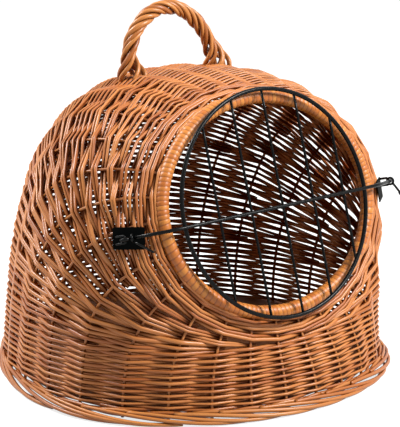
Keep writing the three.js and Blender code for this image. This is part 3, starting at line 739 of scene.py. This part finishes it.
PLATE_ALONG = np.array([0.7252, -0.6872, 0.0425])
PLATE_UP = np.array([0.0955, 0.1616, 0.9822])
PLATE_OUT = np.array([-0.6819, -0.7083, 0.1828])
PLATE_PLACE = np.array([-171.749, -140.876, 201.508])
PLATE_HALF = (17.0, 11.75)
PLATE_THICKNESS = 1.2
STAPLE_FOOT_X = 13.0
STAPLE_HALF = 3.9
STAPLE_LEG = 3.3
STAPLE_ROUND = 2.2
HINGE_LEVEL = -2.1
LATCH_LEVEL = 5.6
MIRROR = np.array([-1.0, 1.0, 1.0])


def on_plate(side, x, y, z):
    """A place on the left (-1) or right (1) plate: x outward along it, y up, z off its face."""
    flip = MIRROR if side > 0 else 1.0
    return (PLATE_PLACE - x * PLATE_ALONG + y * PLATE_UP + (PLATE_THICKNESS + z) * PLATE_OUT) * flip


staples = []
for side, name, bar, level in ((-1, "hinge_staple", HINGE_BAR, HINGE_LEVEL),
                               (1, "latch_staple", LATCH_BAR, LATCH_LEVEL)):
    legs = [[on_plate(side, STAPLE_FOOT_X, level + high, -PLATE_THICKNESS),
             on_plate(side, STAPLE_FOOT_X, level + high, STAPLE_LEG), in_door(bar + [0, high, 0])]
            for high in (STAPLE_HALF, -STAPLE_HALF)]
    path = bend_wire(legs[0] + legs[1][::-1], STAPLE_ROUND)
    staples.append(add_wire(name + "_wire", "basket", [name], path, STAPLE_WIRE, DOOR_X))

# %% [markdown]
# ## Plates and tongues
# A small plate of black sheet spreads each staple's pull over the weave. It is made as a very
# short rod with a rounded rectangle for its section, and its edges are broken by two thin steps.
# On each end of the cross rod hangs a tongue: a ring round the rod, a shank, and a flat tip.

# %% Plates and tongues
PLATE_ROUND = 1.8
PLATE_LIFT = np.array([0.0, 0.25, PLATE_THICKNESS - 0.3, PLATE_THICKNESS])
PLATE_GROW = np.array([0.985, 1.0, 1.0, 0.98])
CORNER_STEPS = 5
corner = np.repeat(np.array([[1, 1], [-1, 1], [-1, -1], [1, -1]]), CORNER_STEPS, axis=0)
corner_turn = np.concatenate([np.linspace(a, a + 90, CORNER_STEPS) for a in (0, 90, 180, 270)])
corner_turn = np.radians(corner_turn)
plate_section = (corner * (np.array(PLATE_HALF) - PLATE_ROUND)
                 + PLATE_ROUND * np.stack([np.cos(corner_turn), np.sin(corner_turn)], 1))
plates = []
for side, name in ((-1, "hinge_plate"), (1, "latch_plate")):
    flip = MIRROR if side > 0 else np.ones(3)
    path = (PLATE_PLACE + PLATE_LIFT[:, None] * PLATE_OUT) * flip
    plates.append(add_rods(name + "_sheet", "basket", "black_wire", [name], path, PLATE_GROW,
                           np.tile(PLATE_ALONG * flip, (4, 1)), np.zeros(4, int),
                           sides=len(plate_section), section=plate_section))

TONGUE_RING = 3.7
TONGUE_WIRE = 1.3
TONGUE_DROP = np.radians(32)
TONGUE_INWARD = np.radians(20)
TONGUE_RUN = np.array([0.0, 9.0, 17.5, 20.0, 21.5, 26.0, 28.2, 29.0])
TONGUE_THICK = np.array([1.3, 1.3, 1.3, 1.1, 0.95, 0.9, 0.8, 0.4])
TONGUE_WIDE = np.array([1.3, 1.3, 1.3, 1.8, 2.5, 2.6, 1.9, 0.7])
LEFT_HANG = np.array([-174.904, -5.0, -7.529])
RIGHT_HANG = np.array([180.072, -5.0, -6.657])
tongues = []
for side, name, body, place, rod_way in (
        (-1, "hinge_tongue", "left_tongue", LEFT_HANG, KNEE_LEFT - HINGE_BAR),
        (1, "latch_tongue", "right_tongue", RIGHT_HANG, KNEE_RIGHT - hook[0])):
    rod_way = unit(rod_way)
    hang = np.array([-side * np.sin(TONGUE_INWARD) * np.cos(TONGUE_DROP), -np.sin(TONGUE_DROP),
                     np.cos(TONGUE_INWARD) * np.cos(TONGUE_DROP)])
    start = place + TONGUE_RING * unit(hang - hang @ rod_way * rod_way)
    tongues.append(add_wire(name + "_blade", body, [name],
                            in_door(start + TONGUE_RUN[:, None] * hang), TONGUE_THICK,
                            DOOR_Y, wide=TONGUE_WIDE))
    tongues.append(add_ring(name + "_ring", body, [name], in_door(place), rod_way @ DOOR_AXES,
                            TONGUE_RING, TONGUE_WIRE, stations=28))

# %% [markdown]
# ## Finishes
# One function adds a node with its settings and links, and each finish is built from it. Colours
# are written as they look on a screen, and turned to the linear values that light is counted in.

# %% Colours and nodes
def colour(code):
    """An sRGB hex colour as linear red, green, blue and a full alpha."""
    parts = np.array([int(code[i:i + 2], 16) for i in (1, 3, 5)]) / 255
    linear = np.where(parts <= 0.04045, parts / 12.92, ((parts + 0.055) / 1.055) ** 2.4)
    return (*linear.tolist(), 1.0)


def add_node(tree, kind, values=None, links=None, **settings):
    """Adds a node, sets its own settings and its inputs' values, and links inputs to sockets."""
    node = tree.nodes.new(kind)
    for name, value in settings.items():
        setattr(node, name, value)
    for name, value in (values or {}).items():
        node.inputs[name].default_value = value
    for name, socket in (links or {}).items():
        tree.links.new(socket, node.inputs[name])
    return node


def add_math(tree, operation, *terms, **settings):
    """The result of a Math node, whose terms are numbers or sockets of other nodes."""
    values = {i: term for i, term in enumerate(terms) if isinstance(term, float)}
    links = {i: term for i, term in enumerate(terms) if i not in values}
    node = add_node(tree, "ShaderNodeMath", values, links, operation=operation, **settings)
    return node.outputs[0]


def add_range(tree, value, start, end, first, last, curve="LINEAR"):
    """A value between start and end, moved to the same place between first and last."""
    node = add_node(tree, "ShaderNodeMapRange", {1: start, 2: end, 3: first, 4: last}, {0: value},
                    interpolation_type=curve)
    return node.outputs[0]


def add_mix(tree, share, first, second):
    """A colour between two others, which are hex codes or sockets of other nodes."""
    ends = {6: first, 7: second}
    values = {i: colour(end) for i, end in ends.items() if isinstance(end, str)}
    links = {i: end for i, end in ends.items() if i not in values}
    return add_node(tree, "ShaderNodeMix", values, {0: share, **links}, data_type="RGBA").outputs[2]


def add_noise(tree, place, stretch, detail, roughness=0.5):
    """Noise at a place that is first multiplied by the stretch, axis by axis."""
    mapped = add_node(tree, "ShaderNodeMapping", {"Scale": stretch}, {"Vector": place})
    noise = add_node(tree, "ShaderNodeTexNoise",
                     {"Scale": 1.0, "Detail": detail, "Roughness": roughness},
                     {"Vector": mapped.outputs["Vector"]})
    return noise.outputs["Fac"]


def lead_to(shader, tree, tone, height, strength, distance):
    """Leads a colour to the shader, and a height to its normal by a bump of some millimetres."""
    bump = add_node(tree, "ShaderNodeBump", {"Strength": strength, "Distance": distance * MM},
                    {"Height": height})
    tree.links.new(tone, shader.inputs["Base Color"])
    tree.links.new(bump.outputs["Normal"], shader.inputs["Normal"])


def start_material(name):
    """An empty node material with its output and a Principled shader."""
    material = bpy.data.materials.new(name)
    material.use_nodes = True
    tree = material.node_tree
    tree.nodes.clear()
    shader = add_node(tree, "ShaderNodeBsdfPrincipled")
    add_node(tree, "ShaderNodeOutputMaterial", links={"Surface": shader.outputs["BSDF"]})
    return material, tree, shader


def cover(material, *pieces):
    """Gives pieces this one material."""
    for piece in pieces:
        piece.data.materials.clear()
        piece.data.materials.append(material)
    print("%-26s on %s" % (material.name, ", ".join(piece.name for piece in pieces)))


# %% [markdown]
# Willow that was boiled, peeled, stained and varnished: each rod took the stain a little
# differently, and fine fibres run along it. The tint attribute gives a rod's own colour, and noise
# stretched along the UV map draws the fibres. The shade attribute paints shade: it darkens the
# colour where rods touch, on their inner faces and where they pass behind a stake.

# %% Stained willow
FIBRE_LENGTH = 25 * MM
FIBRES_ROUND = 7.0
FIBRE_SHARE = 0.75
FIBRE_MIDDLE = 0.38
WILLOW_GLOSS = 0.43
WILLOW_ROUGHNESS = 0.36


def willow(name, dark, light, painted_shade_colour):
    """Rod colour mixed from dark to light by tint and fibres, then towards a painted shade colour by
    the shade attribute.
    """
    material, tree, shader = start_material(name)
    tint = add_node(tree, "ShaderNodeAttribute", attribute_name="tint").outputs["Fac"]
    shade = add_node(tree, "ShaderNodeAttribute", attribute_name="shade").outputs["Fac"]
    uv = add_node(tree, "ShaderNodeUVMap", uv_map="along").outputs["UV"]
    fibres = add_noise(tree, uv, (1 / FIBRE_LENGTH, FIBRES_ROUND, 1.0), detail=4.0, roughness=0.6)
    amount = add_math(tree, "MULTIPLY_ADD", fibres, FIBRE_SHARE, tint)
    amount = add_math(tree, "SUBTRACT", amount, FIBRE_MIDDLE, use_clamp=True)
    own = add_mix(tree, amount, dark, light)
    # Painted shade: the shade attribute mixes the rod colour towards the painted shade colour, and
    # lowers the gloss with it.
    open_part = add_range(tree, shade, 0.08, 0.72, 0.0, 1.0, "SMOOTHSTEP")
    darkened_tone = add_mix(tree, open_part, painted_shade_colour, own)
    lead_to(shader, tree, darkened_tone, fibres, strength=0.35, distance=0.4)
    gloss = add_math(tree, "MULTIPLY", open_part, WILLOW_GLOSS)
    tree.links.new(gloss, shader.inputs["Specular IOR Level"])
    shader.inputs["Roughness"].default_value = WILLOW_ROUGHNESS
    return material


# The third colour of each finish is painted shade for the rods' touching sides, inner faces and
# stretches behind the stakes.
cover(willow("stained_willow_weavers", "#a0551f", "#cd8445", "#541900"), *weave)
cover(willow("stained_willow_stakes", "#a05824", "#c27c40", "#541900"), stakes)
cover(willow("stained_willow_border", "#a0541e", "#c78040", "#541900"), foot_border)
cover(willow("stained_willow_handle", "#8c4412", "#c98445", "#4c1802"), handle)

# %% [markdown]
# The rim is wrapped in willow that was split in two and shaved flat, so it lies in bands with a
# dark line between them. The whole part of the UV map's u is the band's number, which gives each
# band a colour of its own, and its fraction is the place across the band, which finds the seams.

# %% Split willow wrapping
def wrapped_willow():
    """Band colour from a random number per band, darkened at both edges of the band."""
    material, tree, shader = start_material("split_willow_wrapping")
    uv = add_node(tree, "ShaderNodeUVMap", uv_map="along").outputs["UV"]
    along = add_node(tree, "ShaderNodeSeparateXYZ", links={0: uv}).outputs["X"]
    number = add_math(tree, "FLOOR", along)
    chance = add_node(tree, "ShaderNodeTexWhiteNoise", links={"W": number}, noise_dimensions="1D")
    from_edge = add_math(tree, "PINGPONG", add_math(tree, "FRACT", along), 0.5)
    seam = add_range(tree, from_edge, -0.08, 0.2, 0.0, 1.0, "SMOOTHSTEP")
    fibres = add_noise(tree, uv, (9.0, 1.5, 1.0), detail=3.0)
    amount = add_math(tree, "MULTIPLY_ADD", fibres, 0.6, chance.outputs["Value"])
    amount = add_math(tree, "SUBTRACT", amount, 0.3, use_clamp=True)
    own = add_mix(tree, amount, "#b4621f", "#cf8336")
    darkened_tone = add_mix(tree, seam, "#7a3a10", own)
    lead_to(shader, tree, darkened_tone, fibres, strength=0.3, distance=0.4)
    shader.inputs["Roughness"].default_value = 0.42
    return material


cover(wrapped_willow(), rim)

# %% [markdown]
# The wire is steel with a black coating, satin and a little uneven where it ran, and the plates
# are duller. The floor is plywood in the same stain as the willow, with its grain from front to
# back.

# %% Coated wire and plywood
SPECK = 1.2 * MM
GRAIN_WIDTH = 5 * MM
GRAIN_LENGTH = 90 * MM
GRAIN_DEPTH = 25 * MM


def coated_steel(name, smooth, rough, gloss):
    """Black coating whose roughness and level vary in soft specks of about a millimetre."""
    material, tree, shader = start_material(name)
    place = add_node(tree, "ShaderNodeTexCoord").outputs["Object"]
    specks = add_noise(tree, place, (1 / SPECK, 1 / SPECK, 1 / SPECK), detail=2.0)
    tone = add_mix(tree, specks, "#020303", "#080909")
    lead_to(shader, tree, tone, specks, strength=0.15, distance=0.2)
    tree.links.new(add_range(tree, specks, 0.3, 0.7, smooth, rough), shader.inputs["Roughness"])
    shader.inputs["Specular IOR Level"].default_value = gloss
    return material


def stained_plywood():
    """Grain lines from noise stretched along Y, five millimetres apart."""
    material, tree, shader = start_material("stained_plywood")
    place = add_node(tree, "ShaderNodeTexCoord").outputs["Object"]
    grain = add_noise(tree, place, (1 / GRAIN_WIDTH, 1 / GRAIN_LENGTH, 1 / GRAIN_DEPTH),
                      detail=5.0)
    tone = add_mix(tree, grain, "#6e3b1c", "#9a5f33")
    lead_to(shader, tree, tone, grain, strength=0.2, distance=0.3)
    shader.inputs["Roughness"].default_value = 0.55
    return material


cover(coated_steel("black_coated_steel_wire", 0.2, 0.34, 0.12), hoop, bars, cross_rod, hinge_eye,
      *staples, *tongues)
cover(coated_steel("black_coated_steel_sheet", 0.55, 0.7, 0.03), *plates)
cover(stained_plywood(), floor_board)

# %% [markdown]
# ## Stage, light and camera
# The carrier stands on a pale floor before white. One lamp stands behind it on the left, which
# lights the left side of the wall, and a stronger one in front of it on the right. The sky fills
# the rest. Floor and sky look white to the camera and in reflections, without lighting the object
# any more for it. The camera is the one that the outline, the mouth and the door of the real view
# agree on.

# %% Floor and light
FLOOR_HALF = 4.0
FLOOR_Z = -0.0005
FLOOR_GLOW = 0.8
SKY_FILL = 0.2
LAMP_SIZE = 0.5
LAMP_TARGET = np.array([0.0, 0.0, 0.2])


def seen_rays(tree):
    """1 for rays from the camera, from a reflection or through a clear surface, and 0 for others."""
    ray = add_node(tree, "ShaderNodeLightPath").outputs
    seen = add_math(tree, "MAXIMUM", ray["Is Camera Ray"], ray["Is Glossy Ray"])
    return add_math(tree, "MAXIMUM", seen, ray["Is Transmission Ray"])


def aimed(place, back):
    """The matrix of a lamp or camera at a place: x level, z towards the back, y square to both."""
    right = unit(np.cross(UPWARD, back))
    axes = np.stack([right, np.cross(back, right), back], 1)
    return Matrix.Translation(place) @ Matrix(axes.tolist()).to_4x4()


def add_lamp(name, place, power):
    """A square area lamp at a place, turned to the target."""
    lamp = bpy.data.lights.new(name, "AREA")
    lamp.size = LAMP_SIZE
    lamp.energy = power
    holder = bpy.data.objects.new(name, lamp)
    holder.matrix_world = aimed(place, unit(np.array(place) - LAMP_TARGET))
    bpy.context.scene.collection.objects.link(holder)
    print("lamp %-6s %3.0f W at %s" % (name, power, place))


floor_mesh = bpy.data.meshes.new("floor")
floor_mesh.from_pydata([(x * FLOOR_HALF, y * FLOOR_HALF, FLOOR_Z)
                        for x, y in ((-1, -1), (1, -1), (1, 1), (-1, 1))], [], [(0, 1, 2, 3)])
floor = bpy.data.objects.new("floor", floor_mesh)
bpy.context.scene.collection.objects.link(floor)
floor_material, tree, shader = start_material("white_paper")
shader.inputs["Base Color"].default_value = colour("#a8a8a6")
shader.inputs["Roughness"].default_value = 0.9
shader.inputs["Emission Color"].default_value = (1, 1, 1, 1)
tree.links.new(add_math(tree, "MULTIPLY", seen_rays(tree), FLOOR_GLOW),
               shader.inputs["Emission Strength"])
cover(floor_material, floor)

world = bpy.data.worlds.new("white_studio")
bpy.context.scene.world = world
world.use_nodes = True
tree = world.node_tree
tree.nodes.clear()
fill = add_node(tree, "ShaderNodeBackground", {"Color": colour("#fff8f2"), "Strength": SKY_FILL})
white = add_node(tree, "ShaderNodeBackground", {"Color": (1, 1, 1, 1), "Strength": 1.0})
sky = add_node(tree, "ShaderNodeMixShader",
               links={0: seen_rays(tree), 1: fill.outputs[0], 2: white.outputs[0]})
add_node(tree, "ShaderNodeOutputWorld", links={"Surface": sky.outputs[0]})
add_lamp("left", (-0.9, 1.0, 1.5), 43.0)
add_lamp("right", (0.74, -1.33, 1.39), 54.0)

# %% Camera
TARGET = np.array([0.0, -43.6, 200.0]) * MM
DISTANCE = 2.6
TURN = np.radians(-36.83)
RISE = np.radians(14.45)
back = np.array([np.sin(TURN) * np.cos(RISE), -np.cos(TURN) * np.cos(RISE), np.sin(RISE)])
lens = bpy.data.cameras.new("camera")
lens.sensor_fit = "HORIZONTAL"
lens.sensor_width = 36.0
lens.lens = 209.86
lens.shift_x = -0.01257
lens.shift_y = -0.04277
camera = bpy.data.objects.new("camera", lens)
camera.matrix_world = aimed(TARGET + DISTANCE * back, back)
bpy.context.scene.collection.objects.link(camera)
bpy.context.scene.camera = camera
bpy.context.scene.view_settings.view_transform = "Standard"
print("the camera is %.1f m away, %.0f degrees up" % (DISTANCE, np.degrees(RISE)))
